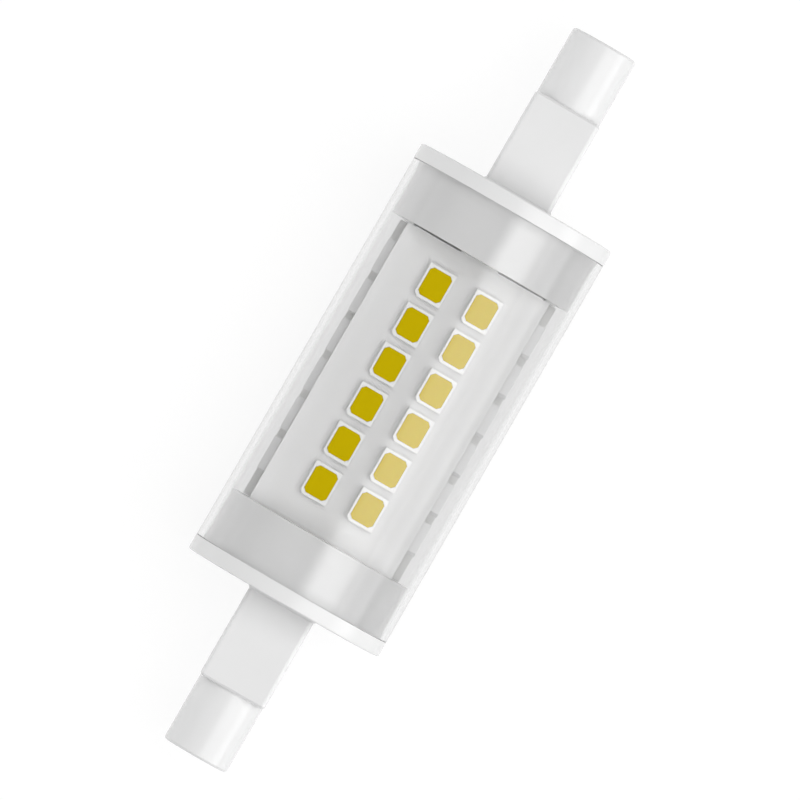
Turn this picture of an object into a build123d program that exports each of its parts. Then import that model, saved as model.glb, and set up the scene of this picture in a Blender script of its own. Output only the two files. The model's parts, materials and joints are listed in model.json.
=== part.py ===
import os
from math import sqrt

from build123d import *

os.makedirs("parts", exist_ok=True)

# A double-ended linear LED lamp with recessed contacts. Millimetres.
# The lamp's axis is X, the origin is at its middle, and the front LED board faces +Z.

# Lamp and tube
overall_length = 78.0  # between the two round end faces
tube_diameter = 20.8
tube_wall = 0.6
tube_length = 41.3  # between the two flanges

# End caps
flange_thickness = 1.55
flange_edge_cut = 0.12
plug_length = 5.5
plug_clearance = 0.2  # between the plug and the tube
seat_length = 1.1  # taper at the plug's root that centres the tube
seat_clearance = 0.04
end_diameter = 6.8
end_length = 7.07
end_edge_cut = 0.2
arm_width = 7.0
arm_height = 8.0
arm_edge_radius = 0.42
arm_end_cut = 0.22
arm_root_cut = 0.3
recess_diameter = 4.2
recess_depth = 1.55  # from an end face down to its contact

# Contacts and supply leads
contact_diameter = 3.4
contact_thickness = 1.2
contact_clearance = 0.05
lead_diameter = 1.2
lead_channel_clearance = 0.25

# Box of LED boards
box_height = 9.0  # outside faces of the front and back boards
board_thickness = 1.0
pocket_wall = 0.66  # left around the box's corners in the left plug
pocket_clearance = 0.08
pocket_depth = 4.4
board_gap = 0.2  # from the boards' right ends to the right plug
wing_gap = 0.05  # from the back board's wings to the left plug
wing_clearance = 0.12  # between the wings and the tube
wing_edge_cut = 0.4  # lower edges of the wings, where the board was scored and snapped
tab_width = 4.04
tab_length = 2.0
stop_rib_width = 1.05
core_wall = 1.0  # around the room for the lead in the right plug

# LEDs
led_length = 3.5
led_width = 2.8
led_height = 0.95
led_pitch = 4.32
led_row_spacing = 5.0
led_row_shift = 0.25  # middle of the rows along the lamp
led_end_margin = 2.0  # bare board past the last LED
led_corner_cut = 0.35  # marks the polarity
window_length = 2.9
window_width = 2.38
window_corner = 0.33
window_depth = 0.35
gel_clearance = 0.01
gel_sink = 0.03

# Driver
driver_thickness = 1.0
driver_underside = 0.8  # free height under the driver board
driver_clearance = 0.1
driver_end_gap = 1.5
driver_tab_length = 3.6
driver_tab_spacing = 17.0
lane_gap = 0.1  # from the widest components to the driver board's long edges
tag_place = 0.4  # from the driver board's end to the tag that takes a supply lead
tag_thickness = 0.3
tag_foot = 1.2
link_pin_width = 0.5
link_pin_spacing = 5.08
link_clearance = 0.5  # from the capacitor's end to the first link pin
hole_clearance = 0.1
wire_tail = 0.4  # wire ends standing out under the driver board
capacitor_headroom = 0.2  # between the capacitor and the front board
capacitor_length = 11.0
capacitor_wire = 0.5
capacitor_wire_spacing = 2.0
wire_reach = 1.2  # from the capacitor's end to the bends of its wires
resistor_length = 6.3
resistor_width = 3.2
resistor_height = 1.2
resistor_cap_length = 0.8
choke_width = 5.0
choke_headroom = 0.6
choke_flange = 0.8
choke_post_width = 2.0
choke_winding_width = 4.4
choke_winding_corner = 1.2
rectifier_length = 4.7
rectifier_width = 3.9
rectifier_height = 2.4
chip_length = 4.9
chip_width = 3.9
chip_height = 1.6
diode_length = 4.3
diode_width = 2.6
diode_height = 2.2
lead_frame = 0.2  # thickness of the flat leads
body_lift = 0.1  # flat leads hold a component's body off the board
leg_reach = 1.0  # flat leads stand out from a body by this
leg_knee = 0.45
rectifier_leg_width = 0.6
rectifier_leg_pitch = 2.5
chip_leg_width = 0.42
chip_leg_pitch = 1.27
chip_legs = 4  # on each side
diode_leg_width = 1.5
body_draft = 6  # degrees on moulded component bodies
sense_length = 3.2
sense_width = 1.6
sense_height = 0.55
sense_spacing = 2.2

# Worked out from the sizes above
tube_radius = tube_diameter / 2
bore_radius = tube_radius - tube_wall
plug_radius = bore_radius - plug_clearance
tube_end = tube_length / 2
flange_face = tube_end + flange_thickness
plug_face = tube_end - plug_length
end_face = overall_length / 2
arm_end = end_face - end_length
recess_floor = end_face - recess_depth
contact_back = recess_floor - contact_thickness
lead_channel_radius = lead_diameter / 2 + lead_channel_clearance
contact_seat_radius = contact_diameter / 2 + contact_clearance

half_height = box_height / 2
inner_half_height = half_height - board_thickness
pocket_half_height = half_height + pocket_clearance
pocket_half_width = sqrt((plug_radius - pocket_wall) ** 2 - pocket_half_height**2)
board_half_width = pocket_half_width - pocket_clearance
board_width = 2 * board_half_width
box_left = -plug_face - pocket_depth + pocket_clearance
box_right = plug_face - board_gap
box_length = box_right - box_left
box_middle = (box_left + box_right) / 2

led_room = 2 * (plug_face - led_end_margin) - led_length
led_count = int(led_room / led_pitch) + 1
led_places = [(i - (led_count - 1) / 2) * led_pitch for i in range(led_count)]

driver_bottom = -inner_half_height + driver_underside
driver_top = driver_bottom + driver_thickness
driver_room = inner_half_height - driver_top
capacitor_diameter = driver_room - capacitor_headroom
choke_height = driver_room - choke_headroom
driver_left = box_left + driver_end_gap
driver_right = box_right - driver_end_gap
driver_length = driver_right - driver_left
driver_middle = (driver_left + driver_right) / 2
driver_half_width = board_half_width - board_thickness - driver_clearance
driver_tab_places = [driver_middle + side * driver_tab_spacing / 2 for side in (-1, 1)]
left_tag = driver_left + tag_place
right_tag = driver_right - tag_place


def spread(lengths):
    # Middles of components laid end to end along the driver board with even gaps
    gap = (driver_length - sum(lengths)) / (len(lengths) + 1)
    middles = []
    start = driver_left
    for length in lengths:
        middles.append(start + gap + length / 2)
        start += gap + length
    return middles


capacitor_span = capacitor_length + wire_reach
diode_span = diode_length + 2 * leg_reach
rectifier_span = rectifier_width + 2 * leg_reach
chip_span = chip_width + 2 * leg_reach
sense_span = sense_spacing + sense_width
resistor_x, rectifier_x, diode_x, sense_x = spread(
    [resistor_length, rectifier_span, diode_span, sense_span]
)
capacitor_x, chip_x, choke_x = spread([capacitor_span, chip_span, choke_width])
lane_width = max(capacitor_diameter, choke_width, rectifier_length, chip_length)
far_lane = driver_half_width - lane_gap - lane_width / 2
near_lane = -far_lane
capacitor_axis = driver_top + capacitor_diameter / 2
capacitor_base = capacitor_x - capacitor_span / 2 + wire_reach
capacitor_wire_x = capacitor_base - wire_reach
capacitor_wire_y = [near_lane + side * capacitor_wire_spacing / 2 for side in (-1, 1)]
link_start = capacitor_base + capacitor_length + link_clearance + link_pin_width / 2
link_places = [link_start, link_start + link_pin_spacing]


def save(block, name):
    block.part.label = name
    export_step(block.part, f"parts/{name}.step")


# Clear tube
with BuildPart() as clear_tube:
    with BuildSketch(Plane.YZ):
        Circle(tube_radius)
        Circle(bore_radius, mode=Mode.SUBTRACT)
    extrude(amount=tube_length / 2, both=True)
save(clear_tube, "clear_tube")


# End caps. Both are made at the +X end, and the left one is mirrored when it is done.
def cap_blank():
    with BuildPart() as blank:
        with BuildSketch(Plane.YZ.offset(flange_face)):
            Rectangle(arm_width, arm_height)
        extrude(amount=arm_end - flange_face)
        fillet(blank.edges().filter_by(Axis.X), arm_edge_radius)
        chamfer(blank.faces().sort_by(Axis.X)[-1].edges(), arm_end_cut)
        with BuildSketch(Plane.YZ.offset(tube_end)):
            Circle(tube_radius)
        extrude(amount=flange_thickness)
        outer_face = blank.faces().filter_by(lambda face: len(face.inner_wires()) > 0)[0]
        chamfer(outer_face.inner_wires()[0].edges(), arm_root_cut)
        rim_edges = blank.edges().filter_by(GeomType.CIRCLE).sort_by(SortBy.RADIUS)[-2:]
        chamfer(rim_edges.sort_by(Axis.X)[-1], flange_edge_cut)
        # Plug: its root widens to a seat that centres the tube
        with BuildSketch(Plane.XZ):
            with BuildLine():
                Polyline(
                    (plug_face, 0),
                    (plug_face, plug_radius),
                    (tube_end - seat_length, plug_radius),
                    (tube_end, bore_radius - seat_clearance),
                    (tube_end, 0),
                    close=True,
                )
            make_face()
        revolve(axis=Axis.X)
        with BuildSketch(Plane.YZ.offset(arm_end)):
            Circle(end_diameter / 2)
        extrude(amount=end_length)
        chamfer(blank.faces().sort_by(Axis.X)[-1].edges(), end_edge_cut)
        # Stepped bore: the lead's channel, the contact's seat and the open recess
        with BuildSketch(Plane.XZ):
            with BuildLine():
                Polyline(
                    (plug_face, 0),
                    (plug_face, lead_channel_radius),
                    (contact_back, lead_channel_radius),
                    (contact_back, contact_seat_radius),
                    (recess_floor, contact_seat_radius),
                    (recess_floor, recess_diameter / 2),
                    (end_face, recess_diameter / 2),
                    (end_face, 0),
                    close=True,
                )
            make_face()
        revolve(axis=Axis.X, mode=Mode.SUBTRACT)
    return blank.part


# Left cap: its plug has a pocket that takes the end of the LED box
with BuildPart() as left_end_cap:
    add(cap_blank())
    with BuildSketch(Plane.YZ.offset(plug_face)):
        Rectangle(2 * pocket_half_width, 2 * pocket_half_height)
    extrude(amount=pocket_depth, mode=Mode.SUBTRACT)
    mirror(about=Plane.YZ, mode=Mode.REPLACE)
save(left_end_cap, "left_end_cap")

# Right cap: slots for the boards' tabs, room for the lead, and two ribs that stop the box
slot_width = tab_width + 2 * pocket_clearance
slot_height = board_thickness + 2 * pocket_clearance
slot_middle = half_height - board_thickness / 2
core_height = 2 * (slot_middle - slot_height / 2 - core_wall)
core_width = board_width - 2 * board_thickness - 2 * core_wall
with BuildPart() as right_end_cap:
    add(cap_blank())
    with BuildSketch(Plane.YZ.offset(plug_face)):
        with Locations((0, slot_middle), (0, -slot_middle)):
            Rectangle(slot_width, slot_height)
    extrude(amount=tab_length + pocket_clearance, mode=Mode.SUBTRACT)
    with BuildSketch(Plane.YZ.offset(plug_face)):
        Rectangle(core_width, core_height)
    extrude(amount=pocket_depth, mode=Mode.SUBTRACT)
    with BuildSketch(Plane.YZ.offset(plug_face)):
        with Locations((board_half_width, 0), (-board_half_width, 0)):
            Rectangle(stop_rib_width, box_height)
    extrude(amount=-board_gap)
save(right_end_cap, "right_end_cap")

# Contacts: round buttons, flush with the floors of the two recesses
# Supply leads: along the lamp's axis, from a contact's back to a tag on the driver board
for side, outward, tag in (("left", -1, left_tag), ("right", 1, right_tag)):
    with BuildPart() as contact:
        with BuildSketch(Plane.YZ.offset(outward * contact_back)):
            Circle(contact_diameter / 2)
        extrude(amount=outward * contact_thickness)
    save(contact, f"{side}_contact")

    with BuildPart() as supply_lead:
        with BuildSketch(Plane.YZ.offset(tag)):
            Circle(lead_diameter / 2)
        extrude(amount=outward * contact_back - tag)
    save(supply_lead, f"{side}_supply_lead")

# Solder tags: folded strips that stand on the driver board, where the leads end
with BuildPart() as solder_tags:
    for place, inward in ((left_tag, 1), (right_tag, -1)):
        with BuildSketch(Plane.XZ):
            with BuildLine():
                Polyline(
                    (place, lead_diameter / 2),
                    (place, driver_top),
                    (place + inward * tag_foot, driver_top),
                    (place + inward * tag_foot, driver_top + tag_thickness),
                    (place + inward * tag_thickness, driver_top + tag_thickness),
                    (place + inward * tag_thickness, lead_diameter / 2),
                    close=True,
                )
            make_face()
        extrude(amount=lead_diameter / 2, both=True)
save(solder_tags, "solder_tags")

# Front board: a plate with a tab at its right end
with BuildPart() as front_led_board:
    with BuildSketch(Plane.XY.offset(inner_half_height)):
        with Locations((box_middle, 0)):
            Rectangle(box_length, board_width)
        with Locations((box_right, 0)):
            Rectangle(board_gap + tab_length, tab_width, align=(Align.MIN, Align.CENTER))
    extrude(amount=board_thickness)
save(front_led_board, "front_led_board")

# Back board: the same plate with wings that reach under the side LEDs, nearly to the tube
wing_left = -plug_face + wing_gap
wing_side = sqrt((bore_radius - wing_clearance) ** 2 - (half_height - wing_edge_cut) ** 2)
wing_outline = [
    (-wing_side, -inner_half_height),
    (-wing_side, -half_height + wing_edge_cut),
    (-wing_side + wing_edge_cut, -half_height),
    (wing_side - wing_edge_cut, -half_height),
    (wing_side, -half_height + wing_edge_cut),
    (wing_side, -inner_half_height),
]
with BuildPart() as back_led_board:
    with BuildSketch(Plane.XY.offset(-half_height)):
        with Locations((box_middle, 0)):
            Rectangle(box_length, board_width)
        with Locations((box_right, 0)):
            Rectangle(board_gap + tab_length, tab_width, align=(Align.MIN, Align.CENTER))
    extrude(amount=board_thickness)
    with BuildSketch(Plane.YZ.offset(wing_left)):
        Polygon(*wing_outline, align=None)
    extrude(amount=box_right - wing_left)
save(back_led_board, "back_led_board")

# Side boards: between the front and back boards, with slots for the driver board's tabs
for name, side in (("near_side_led_board", -1), ("far_side_led_board", 1)):
    with BuildPart() as side_board:
        with BuildSketch(Plane.XZ.offset(-side * board_half_width)):
            with Locations((box_middle, 0)):
                Rectangle(box_length, 2 * inner_half_height)
            with Locations(*[(x, (driver_bottom + driver_top) / 2) for x in driver_tab_places]):
                Rectangle(
                    driver_tab_length + 2 * driver_clearance,
                    driver_thickness + 2 * driver_clearance,
                    mode=Mode.SUBTRACT,
                )
        extrude(amount=side * board_thickness)
    save(side_board, name)

# LED packages: a white body with a window, and the phosphor gel that fills it
led_end = led_length / 2
led_side = led_width / 2
led_outline = [
    (-led_end + led_corner_cut, led_side),
    (-led_end, led_side - led_corner_cut),
    (-led_end, -led_side),
    (led_end, -led_side),
    (led_end, led_side),
]


def led_bodies(face, places):
    with BuildPart() as bodies:
        with BuildSketch(face):
            with Locations(*places):
                Polygon(*led_outline, align=None)
        extrude(amount=led_height)
        with BuildSketch(face.offset(led_height)) as window:
            with Locations(*places):
                Rectangle(window_length, window_width)
            chamfer(window.vertices(), window_corner)
        extrude(amount=-window_depth, mode=Mode.SUBTRACT)
    return bodies


def led_gels(face, places):
    with BuildPart() as gels:
        with BuildSketch(face.offset(led_height - window_depth)) as window:
            with Locations(*places):
                Rectangle(window_length - 2 * gel_clearance, window_width - 2 * gel_clearance)
            chamfer(window.vertices(), window_corner)
        extrude(amount=window_depth - gel_sink)
    return gels


front_face = Plane(origin=(led_row_shift, 0, half_height), x_dir=(1, 0, 0), z_dir=(0, 0, 1))
back_face = Plane(origin=(led_row_shift, 0, -half_height), x_dir=(1, 0, 0), z_dir=(0, 0, -1))
near_face = Plane(origin=(led_row_shift, -board_half_width, 0), x_dir=(1, 0, 0), z_dir=(0, -1, 0))
far_face = Plane(origin=(led_row_shift, board_half_width, 0), x_dir=(1, 0, 0), z_dir=(0, 1, 0))
row_y = led_row_spacing / 2

for row, y in (("near", -row_y), ("far", row_y)):
    for number, x in enumerate(led_places, 1):
        save(led_bodies(front_face, [(x, y)]), f"front_led_{row}_{number}_body")
        save(led_gels(front_face, [(x, y)]), f"front_led_{row}_{number}_gel")

two_rows = [(x, y) for y in (-row_y, row_y) for x in led_places]
one_row = [(x, 0) for x in led_places]
for name, face, places in (
    ("back", back_face, two_rows),
    ("near_side", near_face, one_row),
    ("far_side", far_face, one_row),
):
    save(led_bodies(face, places), f"{name}_led_bodies")
    save(led_gels(face, places), f"{name}_led_gels")

# Driver board: tabs in the side boards' slots, holes for the pins and component wires
with BuildPart() as driver_board:
    with BuildSketch(Plane.XY.offset(driver_bottom)):
        with Locations((driver_middle, 0)):
            Rectangle(driver_length, 2 * driver_half_width)
        with Locations(*[(x, 0) for x in driver_tab_places]):
            Rectangle(driver_tab_length, board_width)
        with Locations(*[(x, 0) for x in link_places]):
            hole_width = link_pin_width + 2 * hole_clearance
            Rectangle(hole_width, hole_width, mode=Mode.SUBTRACT)
        with Locations(*[(capacitor_wire_x, y) for y in capacitor_wire_y]):
            Circle(capacitor_wire / 2 + hole_clearance, mode=Mode.SUBTRACT)
    extrude(amount=driver_thickness)
save(driver_board, "driver_board")

# Link pins: from the back board through the driver board to the front board
with BuildPart() as link_pins:
    with BuildSketch(Plane.XY.offset(-inner_half_height)):
        with Locations(*[(x, 0) for x in link_places]):
            Rectangle(link_pin_width, link_pin_width)
    extrude(amount=2 * inner_half_height)
save(link_pins, "link_pins")

# Smoothing capacitor: a round can lying on the driver board, its wires bent down through the board
with BuildPart() as smoothing_capacitor:
    with BuildSketch(Plane.YZ.offset(capacitor_base)):
        with Locations((near_lane, capacitor_axis)):
            Circle(capacitor_diameter / 2)
    extrude(amount=capacitor_length)
save(smoothing_capacitor, "smoothing_capacitor")

with BuildPart() as capacitor_wires:
    for y in capacitor_wire_y:
        with BuildLine(Plane.XZ.offset(-y)) as path:
            Polyline(
                (capacitor_base, capacitor_axis),
                (capacitor_wire_x, capacitor_axis),
                (capacitor_wire_x, driver_bottom - wire_tail),
            )
        with BuildSketch(Plane(origin=path.line @ 0, z_dir=path.line % 0)):
            Circle(capacitor_wire / 2)
        sweep(path=path.line, transition=Transition.RIGHT)
save(capacitor_wires, "capacitor_wires")

# Fusible resistor: a flat block between two metal end caps
waist_length = resistor_length - 2 * resistor_cap_length
resistor_cap_reach = (waist_length + resistor_cap_length) / 2
with BuildPart() as fusible_resistor:
    with BuildSketch(Plane.XY.offset(driver_top)):
        with Locations((resistor_x, far_lane)):
            Rectangle(waist_length, resistor_width)
    extrude(amount=resistor_height)
save(fusible_resistor, "fusible_resistor")

with BuildPart() as resistor_caps:
    with BuildSketch(Plane.XY.offset(driver_top)):
        with Locations(*[(resistor_x + side * resistor_cap_reach, far_lane) for side in (-1, 1)]):
            Rectangle(resistor_cap_length, resistor_width)
    extrude(amount=resistor_height)
save(resistor_caps, "resistor_caps")

# Choke: a ferrite bobbin standing on the driver board, wound with copper
winding_height = choke_height - 2 * choke_flange
with BuildPart() as choke_core:
    for start, height, width in (
        (0, choke_flange, choke_width),
        (choke_flange, winding_height, choke_post_width),
        (choke_height - choke_flange, choke_flange, choke_width),
    ):
        with BuildSketch(Plane.XY.offset(driver_top + start)):
            with Locations((choke_x, near_lane)):
                Rectangle(width, width)
        extrude(amount=height)
save(choke_core, "choke_core")

with BuildPart() as choke_winding:
    with BuildSketch(Plane.XY.offset(driver_top + choke_flange)) as turns:
        with Locations((choke_x, near_lane)):
            Rectangle(choke_winding_width, choke_winding_width)
            chamfer(turns.vertices(), choke_winding_corner)
            Rectangle(choke_post_width, choke_post_width, mode=Mode.SUBTRACT)
    extrude(amount=winding_height)
save(choke_winding, "choke_winding")


# Moulded component bodies: drafted up and down from the parting line at their flat leads
def moulded_body(x, y, length, width, height):
    parting = driver_top + body_lift + height / 2
    with BuildPart() as body:
        for direction in (1, -1):
            with BuildSketch(Plane.XY.offset(parting)):
                with Locations((x, y)):
                    Rectangle(length, width)
            extrude(amount=direction * height / 2, taper=body_draft)
    return body


save(moulded_body(rectifier_x, far_lane, rectifier_width, rectifier_length, rectifier_height), "rectifier")
save(moulded_body(chip_x, near_lane, chip_width, chip_length, chip_height), "driver_chip")
save(moulded_body(diode_x, far_lane, diode_length, diode_width, diode_height), "freewheel_diode")


# Flat leads: out of the parting line, down, and a foot on the board, at both ends of a body
def flat_leads(x, y, places, half_body, height, width):
    leg_plane = Plane(origin=(x, y, driver_top), x_dir=(1, 0, 0), z_dir=(0, -1, 0))
    middle = body_lift + height / 2
    knee = half_body + leg_knee
    with BuildPart() as leads:
        for place in places:
            with BuildSketch(leg_plane.offset(place)):
                with BuildLine():
                    Polyline(
                        (half_body, middle + lead_frame / 2),
                        (knee, middle + lead_frame / 2),
                        (knee, lead_frame),
                        (half_body + leg_reach, lead_frame),
                        (half_body + leg_reach, 0),
                        (knee - lead_frame, 0),
                        (knee - lead_frame, middle - lead_frame / 2),
                        (half_body, middle - lead_frame / 2),
                        close=True,
                    )
                make_face()
                mirror(about=Plane.YZ)
            extrude(amount=width / 2, both=True)
    return leads


rectifier_places = [-rectifier_leg_pitch / 2, rectifier_leg_pitch / 2]
chip_places = [(i - (chip_legs - 1) / 2) * chip_leg_pitch for i in range(chip_legs)]
for name, x, y, places, half_body, height, width in (
    ("rectifier_leads", rectifier_x, far_lane, rectifier_places, rectifier_width / 2, rectifier_height,
     rectifier_leg_width),
    ("chip_leads", chip_x, near_lane, chip_places, chip_width / 2, chip_height, chip_leg_width),
    ("diode_leads", diode_x, far_lane, [0], diode_length / 2, diode_height, diode_leg_width),
):
    save(flat_leads(x, y, places, half_body, height, width), name)

# Sense resistors: two flat chips side by side
with BuildPart() as sense_resistors:
    with BuildSketch(Plane.XY.offset(driver_top)):
        with Locations((sense_x - sense_spacing / 2, far_lane), (sense_x + sense_spacing / 2, far_lane)):
            Rectangle(sense_width, sense_length)
    extrude(amount=sense_height)
save(sense_resistors, "sense_resistors")
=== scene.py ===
import json
import math

import bmesh
import bpy
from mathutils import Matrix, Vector

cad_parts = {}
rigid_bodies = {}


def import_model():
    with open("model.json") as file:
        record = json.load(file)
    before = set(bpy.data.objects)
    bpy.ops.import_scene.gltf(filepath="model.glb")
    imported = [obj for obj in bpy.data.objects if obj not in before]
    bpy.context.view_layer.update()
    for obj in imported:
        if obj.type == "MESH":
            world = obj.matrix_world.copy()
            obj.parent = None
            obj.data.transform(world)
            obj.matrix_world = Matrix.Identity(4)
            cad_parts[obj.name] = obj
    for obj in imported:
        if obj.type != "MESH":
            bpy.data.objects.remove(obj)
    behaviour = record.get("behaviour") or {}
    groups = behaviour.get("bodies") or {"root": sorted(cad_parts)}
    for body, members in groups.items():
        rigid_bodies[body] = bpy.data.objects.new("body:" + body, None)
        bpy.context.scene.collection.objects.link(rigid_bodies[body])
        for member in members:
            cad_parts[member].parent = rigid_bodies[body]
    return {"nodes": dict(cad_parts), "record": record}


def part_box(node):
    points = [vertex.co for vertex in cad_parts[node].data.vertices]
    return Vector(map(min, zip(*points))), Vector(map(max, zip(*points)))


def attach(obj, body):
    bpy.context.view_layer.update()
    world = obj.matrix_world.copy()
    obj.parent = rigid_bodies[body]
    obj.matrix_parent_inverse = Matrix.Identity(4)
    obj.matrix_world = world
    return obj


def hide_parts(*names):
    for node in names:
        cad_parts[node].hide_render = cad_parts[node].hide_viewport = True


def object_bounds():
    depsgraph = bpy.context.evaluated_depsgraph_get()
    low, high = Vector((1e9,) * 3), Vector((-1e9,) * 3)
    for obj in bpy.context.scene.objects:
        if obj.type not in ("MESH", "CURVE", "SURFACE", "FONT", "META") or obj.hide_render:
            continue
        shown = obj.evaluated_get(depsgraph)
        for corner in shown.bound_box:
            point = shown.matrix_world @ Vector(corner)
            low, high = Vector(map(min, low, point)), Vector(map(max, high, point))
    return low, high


# Dresses the double-ended LED lamp: finishes, rounded edges, a fine clear tube and a white paper set
# The lamp lies along X and its front LED board looks up along +Z. The frame is in metres.
for leftover in list(bpy.data.objects):
    bpy.data.objects.remove(leftover)

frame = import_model()
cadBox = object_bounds()
nodes = frame["nodes"]
scene = bpy.context.scene
mm = 0.001
print("frame loaded,", len(nodes), "nodes")


def linearColour(hexColour):
    # sRGB hex to the linear values that the shaders take
    channels = [int(hexColour[i:i + 2], 16) / 255 for i in (1, 3, 5)]
    return [c / 12.92 if c <= 0.04045 else ((c + 0.055) / 1.055) ** 2.4 for c in channels] + [1.0]


def addNode(tree, kind, inputs=None, **settings):
    # one node with its settings; a socket given as a value becomes a link
    node = tree.nodes.new(kind)
    for name, value in settings.items():
        setattr(node, name, value)
    for socket, value in (inputs or {}).items():
        if isinstance(value, bpy.types.NodeSocket):
            tree.links.new(value, node.inputs[socket])
        else:
            node.inputs[socket].default_value = value
    return node


def newMaterial(name):
    material = bpy.data.materials.new(name)
    material.use_nodes = True
    material.node_tree.nodes.clear()
    return material, material.node_tree


def seenDirectly(tree, rays, kinds):
    # 1 for these kinds of ray as long as nothing matt lies between them and the eye, else 0
    seen = rays.outputs[kinds[0]]
    for kind in kinds[1:]:
        either = addNode(tree, "ShaderNodeMath", {0: seen, 1: rays.outputs[kind]}, operation="MAXIMUM")
        seen = either.outputs[0]
    direct = addNode(tree, "ShaderNodeMath", {0: rays.outputs["Diffuse Depth"], 1: 0.5},
                     operation="LESS_THAN")
    return addNode(tree, "ShaderNodeMath", {0: seen, 1: direct.outputs[0]}, operation="MULTIPLY").outputs[0]


# Camera: straight above the lamp, turned so that the lamp climbs to the upper right
view = {"widthMm": 76.05, "distance": 1.2, "sensorMm": 36.0, "turn": -60.0}


def makeCamera():
    data = bpy.data.cameras.new("topCamera")
    data.sensor_width = view["sensorMm"]
    data.lens = view["sensorMm"] * view["distance"] / (view["widthMm"] * mm)
    camera = bpy.data.objects.new("topCamera", data)
    camera.location = (0, 0, view["distance"])
    camera.rotation_euler = (0, 0, math.radians(view["turn"]))
    scene.collection.objects.link(camera)
    scene.camera = camera


makeCamera()
print("camera set")

# Floor: a white paper sweep with a low rim, so that level views end in white as well
# glow is its level, which falls to farGlow in gloss from near to far; lengths are in metres
paper = {"flat": 1.6, "rim": 2.2, "rimHeight": 0.25, "segments": 96, "bendSteps": 6, "tint": "#E8E8E8",
         "shadowShare": 0.16, "glow": 0.88, "near": 0.03, "far": 0.18, "farGlow": 0.45}


def makeFloor():
    level = cadBox[0].z
    reach = paper["rim"] - paper["flat"]
    steps = [math.pi / 2 * i / paper["bendSteps"] for i in range(paper["bendSteps"] + 1)]
    around = [2 * math.pi * i / paper["segments"] for i in range(paper["segments"])]
    bend = [(paper["flat"] + reach * math.sin(a), paper["rimHeight"] * (1 - math.cos(a))) for a in steps]
    mesh = bmesh.new()
    centre = mesh.verts.new((0, 0, level))
    rings = [[mesh.verts.new((radius * math.cos(t), radius * math.sin(t), level + height)) for t in around]
             for radius, height in bend]
    for i in range(paper["segments"]):
        j = (i + 1) % paper["segments"]
        mesh.faces.new((centre, rings[0][i], rings[0][j]))
        for low, high in zip(rings, rings[1:]):
            mesh.faces.new((low[i], high[i], high[j], low[j]))
    data = bpy.data.meshes.new("paperSweep")
    mesh.to_mesh(data)
    mesh.free()
    data.shade_smooth()
    floor = bpy.data.objects.new("paperSweep", data)
    scene.collection.objects.link(floor)
    data.materials.append(sweepPaper())


# Matt white paper: to the eye and through glass it is white and keeps a light shadow
# In gloss it greys away from the lamp, to the level of the room's haze, so that no edge shows on the tube
def sweepPaper():
    material, tree = newMaterial("mattWhitePaper")
    rays = addNode(tree, "ShaderNodeLightPath")
    seen = seenDirectly(tree, rays, ("Is Camera Ray", "Is Glossy Ray", "Is Transmission Ray"))
    tint = linearColour(paper["tint"])
    faintTint = [c * paper["shadowShare"] for c in tint[:3]] + [1.0]
    lit = addNode(tree, "ShaderNodeBsdfDiffuse", {"Color": tint})
    faint = addNode(tree, "ShaderNodeBsdfDiffuse", {"Color": faintTint})
    place = addNode(tree, "ShaderNodeNewGeometry").outputs["Position"]
    away = addNode(tree, "ShaderNodeVectorMath", {0: place}, operation="LENGTH")
    far = addNode(tree, "ShaderNodeMapRange",
                  {"Value": away.outputs["Value"], "From Min": paper["near"], "From Max": paper["far"]},
                  interpolation_type="SMOOTHSTEP")
    dim = addNode(tree, "ShaderNodeMath", {0: rays.outputs["Is Glossy Ray"], 1: far.outputs[0]},
                  operation="MULTIPLY")
    level = addNode(tree, "ShaderNodeMath",
                    {0: dim.outputs[0], 1: paper["farGlow"] - paper["glow"], 2: paper["glow"]},
                    operation="MULTIPLY_ADD")
    glow = addNode(tree, "ShaderNodeEmission", {"Color": (1, 1, 1, 1), "Strength": level.outputs[0]})
    shown = addNode(tree, "ShaderNodeAddShader", {0: faint.outputs[0], 1: glow.outputs[0]})
    both = addNode(tree, "ShaderNodeMixShader", {0: seen, 1: lit.outputs[0], 2: shown.outputs[0]})
    addNode(tree, "ShaderNodeOutputMaterial", {"Surface": both.outputs[0]})
    return material


makeFloor()
print("floor laid")

# Lamps: an even light from above, part of which the tube stops, a low one on the far side, two walls past
# the lamp's ends, and two softboxes over its near side
# tilt is from straight up and turn is round Z from +X, in degrees; distance and sizes are in metres
# fade is the share of a softbox's width over which each edge fades out, a plain one leaves no highlight, and
# one that passes shines on through the tube
softboxes = {
    "topFill": {"tilt": 13, "turn": -80, "distance": 0.8, "across": 0.8, "along": 0.8, "radiance": 2.2,
                "plain": True, "passes": True},
    "capFill": {"tilt": 13, "turn": -80, "distance": 0.8, "across": 0.8, "along": 0.8, "radiance": 0.42,
                "plain": True},
    "farFill": {"tilt": 76, "turn": 90, "distance": 0.8, "across": 0.45, "along": 1.6, "radiance": 1.9,
                "plain": True, "passes": True},
    "rightWall": {"tilt": 50, "turn": 0, "distance": 0.75, "across": 0.95, "along": 2.6, "radiance": 0.24,
                  "plain": True, "passes": True},
    "leftWall": {"tilt": 50, "turn": 180, "distance": 0.75, "across": 0.95, "along": 2.6, "radiance": 0.24,
                 "plain": True, "passes": True},
    "keySoftbox": {"tilt": 32, "turn": -90, "distance": 0.7, "across": 0.8, "along": 0.2, "radiance": 2.55,
                   "fade": 0.33, "passes": True},
    "lowSoftbox": {"tilt": 71, "turn": -90, "distance": 0.7, "across": 0.5, "along": 0.65, "radiance": 2.5,
                   "fade": 0.3},
}
# the dim room behind the softboxes, and the height in degrees to which its haze rises in gloss and glass
room = {"glow": 0.01, "hazeTop": 28}


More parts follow.
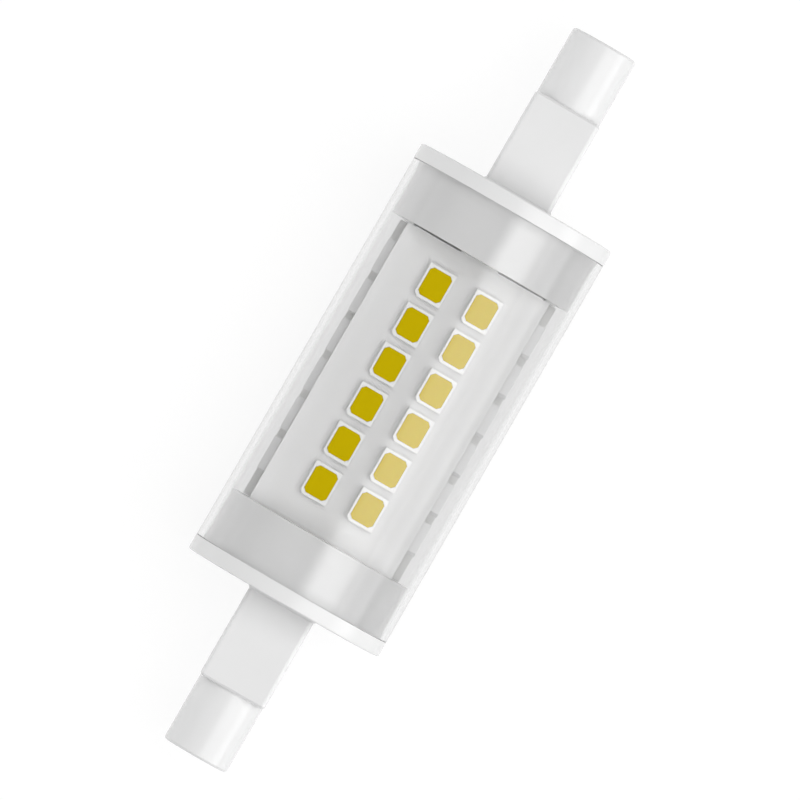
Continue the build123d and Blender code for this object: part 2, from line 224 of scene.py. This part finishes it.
def makeSoftboxes():
    for name, box in softboxes.items():
        data = bpy.data.lights.new(name, "AREA")
        data.shape = "RECTANGLE"
        data.size = box["along"]
        data.size_y = box["across"]
        data.energy = box["radiance"] * math.pi * box["along"] * box["across"]  # watts for that radiance
        tilt = math.radians(box["tilt"])
        turn = math.radians(box["turn"])
        lamp = bpy.data.objects.new(name, data)
        lamp.location = Vector((math.sin(tilt) * math.cos(turn), math.sin(tilt) * math.sin(turn),
                                math.cos(tilt))) * box["distance"]
        lamp.rotation_euler = (tilt, 0, turn + math.pi / 2)
        lamp.visible_camera = False
        lamp.visible_transmission = False
        if "plain" in box:
            lamp.visible_glossy = False
            data.cycles.use_multiple_importance_sampling = False
        if "fade" in box:
            fadeEdges(data, box["fade"])
        scene.collection.objects.link(lamp)


def fadeEdges(data, fade):
    # the place across the lamp runs from 0 to 1
    data.use_nodes = True
    tree = data.node_tree
    tree.nodes.clear()
    place = addNode(tree, "ShaderNodeNewGeometry").outputs["Parametric"]
    across = addNode(tree, "ShaderNodeSeparateXYZ", {0: place}).outputs["Y"]
    off = addNode(tree, "ShaderNodeMath", {0: across, 1: 0.5}, operation="SUBTRACT")
    off = addNode(tree, "ShaderNodeMath", {0: off.outputs[0]}, operation="ABSOLUTE")
    level = addNode(tree, "ShaderNodeMapRange",
                    {"Value": off.outputs[0], "From Min": 0.5, "From Max": 0.5 - fade},
                    interpolation_type="SMOOTHSTEP")
    light = addNode(tree, "ShaderNodeEmission", {"Color": (1, 1, 1, 1), "Strength": level.outputs[0]})
    addNode(tree, "ShaderNodeOutputLight", {"Surface": light.outputs[0]})


def makeWorld():
    world = bpy.data.worlds.new("dimStudio")
    world.use_nodes = True
    world.cycles.sampling_method = "NONE"
    tree = world.node_tree
    tree.nodes.clear()
    rays = addNode(tree, "ShaderNodeLightPath")
    seen = seenDirectly(tree, rays, ("Is Glossy Ray", "Is Transmission Ray"))
    towards = addNode(tree, "ShaderNodeTexCoord").outputs["Generated"]
    height = addNode(tree, "ShaderNodeSeparateXYZ", {0: towards}).outputs["Z"]
    haze = addNode(tree, "ShaderNodeMapRange",
                   {"Value": height, "From Min": math.sin(math.radians(room["hazeTop"])), "From Max": 0.0,
                    "To Max": paper["farGlow"]}, interpolation_type="SMOOTHSTEP")
    level = addNode(tree, "ShaderNodeMath", {0: seen, 1: haze.outputs[0], 2: room["glow"]},
                    operation="MULTIPLY_ADD")
    air = addNode(tree, "ShaderNodeBackground", {"Color": (1, 1, 1, 1), "Strength": level.outputs[0]})
    addNode(tree, "ShaderNodeOutputWorld", {"Surface": air.outputs[0]})
    scene.world = world


makeSoftboxes()
makeWorld()
scene.view_settings.view_transform = "Standard"
print("lamps set")

# Noise: how much fine detail the clouds and the grain have
noiseDetail = {"cloud": 3.0, "grain": 2.0}
wavePeriod = math.pi / 10  # a wave texture of scale 1 repeats at this length


# Start of the opaque finishes: cloudy colour, uneven gloss and a relief, with sizes in millimetres
# The relief is a fine grain, unless the finish has a pattern of its own
def startFinish(name, recipe):
    material, tree = newMaterial(name)
    place = addNode(tree, "ShaderNodeTexCoord").outputs["Object"]
    cloud = addNode(tree, "ShaderNodeTexNoise",
                    {"Vector": place, "Scale": 1 / (recipe["cloudMm"] * mm), "Detail": noiseDetail["cloud"]})
    light = linearColour(recipe["colour"])
    dark = linearColour(recipe["shade"])
    colour = addNode(tree, "ShaderNodeMix", {0: cloud.outputs["Fac"], 6: light, 7: dark}, data_type="RGBA")
    smooth, rough = recipe["rough"]
    gloss = addNode(tree, "ShaderNodeMapRange",
                    {"Value": cloud.outputs["Fac"], "To Min": smooth, "To Max": rough})
    relief = addNode(tree, "ShaderNodeBump", {"Distance": recipe["reliefMm"] * mm})
    if "grainMm" in recipe:
        grain = addNode(tree, "ShaderNodeTexNoise",
                        {"Vector": place, "Scale": 1 / (recipe["grainMm"] * mm),
                         "Detail": noiseDetail["grain"]})
        tree.links.new(grain.outputs["Fac"], relief.inputs["Height"])
    surface = addNode(tree, "ShaderNodeBsdfPrincipled",
                      {"Base Color": colour.outputs[2], "Roughness": gloss.outputs[0],
                       "Normal": relief.outputs[0], "Metallic": recipe.get("metallic", 0.0)})
    if "ior" in recipe:
        surface.inputs["IOR"].default_value = recipe["ior"]
    if "specular" in recipe:
        surface.inputs["Specular IOR Level"].default_value = recipe["specular"]
    addNode(tree, "ShaderNodeOutputMaterial", {"Surface": surface.outputs[0]})
    return material, tree, place, surface


# PBT, injection moulded: half gloss white, the faint spark-eroded grain of its tool, slightly uneven gloss
# The real grain is about 0.03 mm and is drawn coarser, so that it shows
capPlastic = {"colour": "#E1E1E1", "shade": "#DCDCDC", "cloudMm": 5.0, "rough": (0.17, 0.25), "ior": 1.56,
              "grainMm": 0.14, "reliefMm": 0.0012}


def mouldedPbt():
    return startFinish("mouldedWhitePbt", capPlastic)[0]


# Clear glass, drawn as tube: polished and colourless, with long faint draw lines that bend its highlights
tubeGlass = {"colour": "#F1F1F1", "ior": 1.49, "rough": 0.012, "lineMm": 2.4, "stretch": 0.02,
             "lineDetail": 1.0, "reliefMm": 0.00001}


def drawnGlass():
    material, tree = newMaterial("drawnClearGlass")
    place = addNode(tree, "ShaderNodeTexCoord").outputs["Object"]
    along = addNode(tree, "ShaderNodeMapping", {"Vector": place, "Scale": (tubeGlass["stretch"], 1, 1)})
    lines = addNode(tree, "ShaderNodeTexNoise",
                    {"Vector": along.outputs[0], "Scale": 1 / (tubeGlass["lineMm"] * mm),
                     "Detail": tubeGlass["lineDetail"]})
    relief = addNode(tree, "ShaderNodeBump",
                     {"Height": lines.outputs["Fac"], "Distance": tubeGlass["reliefMm"] * mm})
    glass = addNode(tree, "ShaderNodeBsdfPrincipled",
                    {"Base Color": linearColour(tubeGlass["colour"]), "Roughness": tubeGlass["rough"],
                     "IOR": tubeGlass["ior"], "Transmission Weight": 1.0, "Normal": relief.outputs[0]})
    addNode(tree, "ShaderNodeOutputMaterial", {"Surface": glass.outputs[0]})
    return material


# White solder mask, printed on glass laminate: half gloss, slightly uneven over the cloth below
# The sides that face into the box and the routed ends take a darker grey: painted shade for the inside of the
# box
boardMask = {"colour": "#EAEAEA", "shade": "#E5E5E5", "cloudMm": 6.0, "rough": (0.34, 0.44), "ior": 1.5,
             "grainMm": 0.2, "reliefMm": 0.0008, "bare": "#D8D8D7", "bareMm": 0.5}


# Painted shade: gives the faces whose plane lies less than limitMm outside the lamp's axis a darker colour
# A face that looks at the axis lies below zero, and one that looks along it lies at zero
def paintShadeInside(tree, place, surface, hexColour, limitMm):
    outer = surface.inputs["Base Color"].links[0].from_socket
    facing = addNode(tree, "ShaderNodeTexCoord").outputs["Normal"]
    across = addNode(tree, "ShaderNodeVectorMath", {0: place, 1: (0, 1, 1)}, operation="MULTIPLY")
    out = addNode(tree, "ShaderNodeVectorMath", {0: across.outputs[0], 1: facing}, operation="DOT_PRODUCT")
    shadedFace = addNode(tree, "ShaderNodeMath", {0: out.outputs["Value"], 1: limitMm * mm},
                     operation="LESS_THAN")
    colour = addNode(tree, "ShaderNodeMix",
                     {0: shadedFace.outputs[0], 6: outer, 7: linearColour(hexColour)}, data_type="RGBA")
    tree.links.new(colour.outputs[2], surface.inputs["Base Color"])


def printedMask():
    material, tree, place, surface = startFinish("printedWhiteMaskShadedInside", boardMask)
    # painted shade: the inward faces and the ends take the darker grey
    paintShadeInside(tree, place, surface, boardMask["bare"], boardMask["bareMm"])
    return material


# PPA, moulded and very white: the LED frames shine a little more than the board
# Their side walls take a darker white: painted shade, which shows most on the LEDs along the box's flanks
ledPlastic = {"colour": "#FBFBFB", "shade": "#F7F7F7", "cloudMm": 1.5, "rough": (0.28, 0.36), "ior": 1.55,
              "grainMm": 0.1, "reliefMm": 0.0006, "wallShade": "#E0E0E0", "frontMm": 5.0}


def mouldedPpa():
    material, tree, place, surface = startFinish("mouldedWhitePpaShadedWalls", ledPlastic)
    # painted shade: the side walls, and so the LEDs seen along the flanks, take the darker white
    paintShadeInside(tree, place, surface, ledPlastic["wallShade"], ledPlastic["frontMm"])
    return material


# Phosphor in cast silicone: dense yellow, matt from its powder under a smooth skin
# The powder's grains are about 0.02 mm and are drawn coarser, so that they show
phosphor = {"colour": "#D4BC03", "shade": "#CCB202", "cloudMm": 0.16, "rough": (0.55, 0.65), "ior": 1.41,
            "specular": 0.06, "grainMm": 0.12, "reliefMm": 0.002}


def castPhosphor():
    return startFinish("castYellowPhosphor", phosphor)[0]


# Takes a pattern's height as the relief of a finish that has no grain
def setRelief(tree, surface, height):
    relief = surface.inputs["Normal"].links[0].from_node
    tree.links.new(height, relief.inputs["Height"])


# Nickel plate on turned brass: warm grey, with the rings that the tool left
contactMetal = {"colour": "#CFCAC0", "shade": "#BDB7AB", "cloudMm": 1.0, "rough": (0.22, 0.34),
                "metallic": 1.0, "reliefMm": 0.0008, "ringMm": 0.12, "waver": 0.3}


def turnedNickel():
    material, tree, place, surface = startFinish("turnedNickelPlate", contactMetal)
    rings = addNode(tree, "ShaderNodeTexWave",
                    {"Vector": place, "Scale": wavePeriod / (contactMetal["ringMm"] * mm),
                     "Distortion": contactMetal["waver"]},
                    wave_type="RINGS", rings_direction="X")
    setRelief(tree, surface, rings.outputs["Fac"])
    return material


# Silicone sleeve, extruded: soft matt white over the supply leads
leadSleeve = {"colour": "#DAD8D0", "shade": "#D0CEC5", "cloudMm": 2.0, "rough": (0.55, 0.65), "ior": 1.41,
              "grainMm": 0.08, "reliefMm": 0.001}


def extrudedSilicone():
    return startFinish("extrudedWhiteSilicone", leadSleeve)[0]


# Green solder mask, printed on glass laminate: half gloss, with an uneven depth of colour
driverMask = {"colour": "#1F6B36", "shade": "#185A2D", "cloudMm": 3.0, "rough": (0.3, 0.42), "ior": 1.5,
              "grainMm": 0.2, "reliefMm": 0.0008}


def greenMask():
    return startFinish("printedGreenMask", driverMask)[0]


# Tin, dipped on copper: pale, soft and slightly rippled
tinnedMetal = {"colour": "#C9C9C5", "shade": "#B4B4B0", "cloudMm": 0.6, "rough": (0.28, 0.42),
               "metallic": 1.0, "grainMm": 0.15, "reliefMm": 0.002}


def dippedTin():
    return startFinish("dippedTin", tinnedMetal)[0]


# Epoxy, transfer moulded: near black and matt with a fine sparkle of filler
blackEpoxy = {"colour": "#1A1A1C", "shade": "#222224", "cloudMm": 0.5, "rough": (0.5, 0.65), "ior": 1.55,
              "grainMm": 0.09, "reliefMm": 0.003}


def mouldedEpoxy():
    return startFinish("mouldedBlackEpoxy", blackEpoxy)[0]


# PET sleeve, shrunk on an aluminium can: dark blue and glossy
canSleeve = {"colour": "#1B2140", "shade": "#151A34", "cloudMm": 2.5, "rough": (0.2, 0.3), "ior": 1.57,
             "grainMm": 0.3, "reliefMm": 0.002}


def shrunkPet():
    return startFinish("shrunkBluePet", canSleeve)[0]


# Enamel, dipped and fired on ceramic: dull blue grey, slightly wavy
resistorCoat = {"colour": "#7FA0B0", "shade": "#7293A3", "cloudMm": 1.2, "rough": (0.4, 0.55), "ior": 1.5,
                "grainMm": 0.4, "reliefMm": 0.006}


def firedEnamel():
    return startFinish("firedBlueEnamel", resistorCoat)[0]


# Ferrite, pressed and sintered: dark grey and chalky with small pores
chokeFerrite = {"colour": "#2E2E30", "shade": "#3A3A3B", "cloudMm": 0.4, "rough": (0.55, 0.75), "ior": 1.6,
                "grainMm": 0.1, "reliefMm": 0.006}


def sinteredFerrite():
    return startFinish("sinteredFerrite", chokeFerrite)[0]


# Copper wire, enamelled and wound: close turns with a varnish gloss
windingWire = {"colour": "#B4622F", "shade": "#9C5126", "cloudMm": 0.8, "rough": (0.25, 0.38),
               "metallic": 1.0, "reliefMm": 0.03, "wireMm": 0.25}


def woundCopper():
    material, tree, place, surface = startFinish("woundEnamelledCopper", windingWire)
    turns = addNode(tree, "ShaderNodeTexWave",
                    {"Vector": place, "Scale": wavePeriod / (windingWire["wireMm"] * mm)},
                    wave_type="BANDS", bands_direction="Z")
    setRelief(tree, surface, turns.outputs["Fac"])
    return material


# Each slot of the record takes one finish, and every solid of that slot wears it
finishes = {
    "clear_tube": drawnGlass(),
    "white_moulding": mouldedPbt(),
    "contact_metal": turnedNickel(),
    "lead_sleeve": extrudedSilicone(),
    "white_board": printedMask(),
    "led_body": mouldedPpa(),
    "led_gel": castPhosphor(),
    "driver_board": greenMask(),
    "tinned_wire": dippedTin(),
    "black_moulding": mouldedEpoxy(),
    "capacitor_sleeve": shrunkPet(),
    "resistor_coat": firedEnamel(),
    "ferrite": sinteredFerrite(),
    "copper_wire": woundCopper(),
}


def wearFinishes():
    for subpart in frame["record"]["subparts"]:
        mesh = nodes[subpart["node"]].data
        mesh.materials.clear()
        mesh.materials.append(finishes[subpart["material_slot"]])


wearFinishes()
print("finishes on,", len(finishes), "materials")

# Rounded edges: how far the mould or the router broke the edges of each slot, in millimetres
edgeRounds = {"white_moulding": 0.05, "white_board": 0.05, "led_body": 0.03, "led_gel": 0.02,
              "contact_metal": 0.12}
# points this close are joined and faces this flat are merged first, and edges sharper than this are rounded
edgeWork = {"joinMm": 0.001, "flatDegrees": 0.5, "sharpDegrees": 28, "segments": 3}


def roundEdges(node, radius):
    join = node.modifiers.new("joinFaces", "WELD")
    join.merge_threshold = edgeWork["joinMm"] * mm
    flats = node.modifiers.new("mergeFlats", "DECIMATE")
    flats.decimate_type = "DISSOLVE"
    flats.angle_limit = math.radians(edgeWork["flatDegrees"])
    bevel = node.modifiers.new("roundEdges", "BEVEL")
    bevel.width = radius * mm
    bevel.segments = edgeWork["segments"]
    bevel.limit_method = "ANGLE"
    bevel.angle_limit = math.radians(edgeWork["sharpDegrees"])
    node.modifiers.new("evenNormals", "WEIGHTED_NORMAL").keep_sharp = True
    node.data.polygons.foreach_set("use_smooth", [True] * len(node.data.polygons))


def roundAllEdges():
    for subpart in frame["record"]["subparts"]:
        if subpart["material_slot"] in edgeRounds:
            roundEdges(nodes[subpart["node"]], edgeRounds[subpart["material_slot"]])


roundAllEdges()
print("edges rounded")

# Clear tube: turned finely enough that it refracts like a true round, with fire-polished ends
tube = {"wallMm": 0.6, "polishMm": 0.1, "polishSteps": 3, "segments": 768}


def makeTube():
    low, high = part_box("clear_tube")
    outer = high.z
    inner = outer - tube["wallMm"] * mm
    soft = tube["polishMm"] * mm
    quarter = [math.pi / 2 * i / tube["polishSteps"] for i in range(tube["polishSteps"] + 1)]
    around = [2 * math.pi * i / tube["segments"] for i in range(tube["segments"])]
    profile = []
    # corners in turn: outer right, inner right, inner left, outer left
    for x, r, spin in ((high.x - soft, outer - soft, 90), (high.x - soft, inner + soft, 0),
                       (low.x + soft, inner + soft, -90), (low.x + soft, outer - soft, -180)):
        profile += [(x + soft * math.cos(math.radians(spin) - a), r + soft * math.sin(math.radians(spin) - a))
                    for a in quarter]
    mesh = bmesh.new()
    rings = [[mesh.verts.new((x, r * math.cos(t), r * math.sin(t))) for x, r in profile] for t in around]
    for i, ring in enumerate(rings):
        after = rings[(i + 1) % len(rings)]
        for j in range(len(profile)):
            k = (j + 1) % len(profile)
            mesh.faces.new((ring[j], after[j], after[k], ring[k]))
    bmesh.ops.recalc_face_normals(mesh, faces=mesh.faces)
    data = bpy.data.meshes.new("fineClearTube")
    mesh.to_mesh(data)
    mesh.free()
    data.shade_smooth()
    data.materials.append(finishes["clear_tube"])
    piece = bpy.data.objects.new("fineClearTube", data)
    scene.collection.objects.link(piece)
    piece.modifiers.new("evenNormals", "WEIGHTED_NORMAL")
    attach(piece, "root")
    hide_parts("clear_tube")
    return piece


# The tube casts no shadow in the light that passes it, and stops the light of the other lamps
def shineThrough(piece):
    passed = bpy.data.collections.new("shoneThrough")
    passed.objects.link(piece)
    passed.collection_objects[0].light_linking.link_state = "EXCLUDE"
    for name, box in softboxes.items():
        if "passes" in box:
            scene.objects[name].light_linking.blocker_collection = passed


shineThrough(makeTube())
print("tube made")
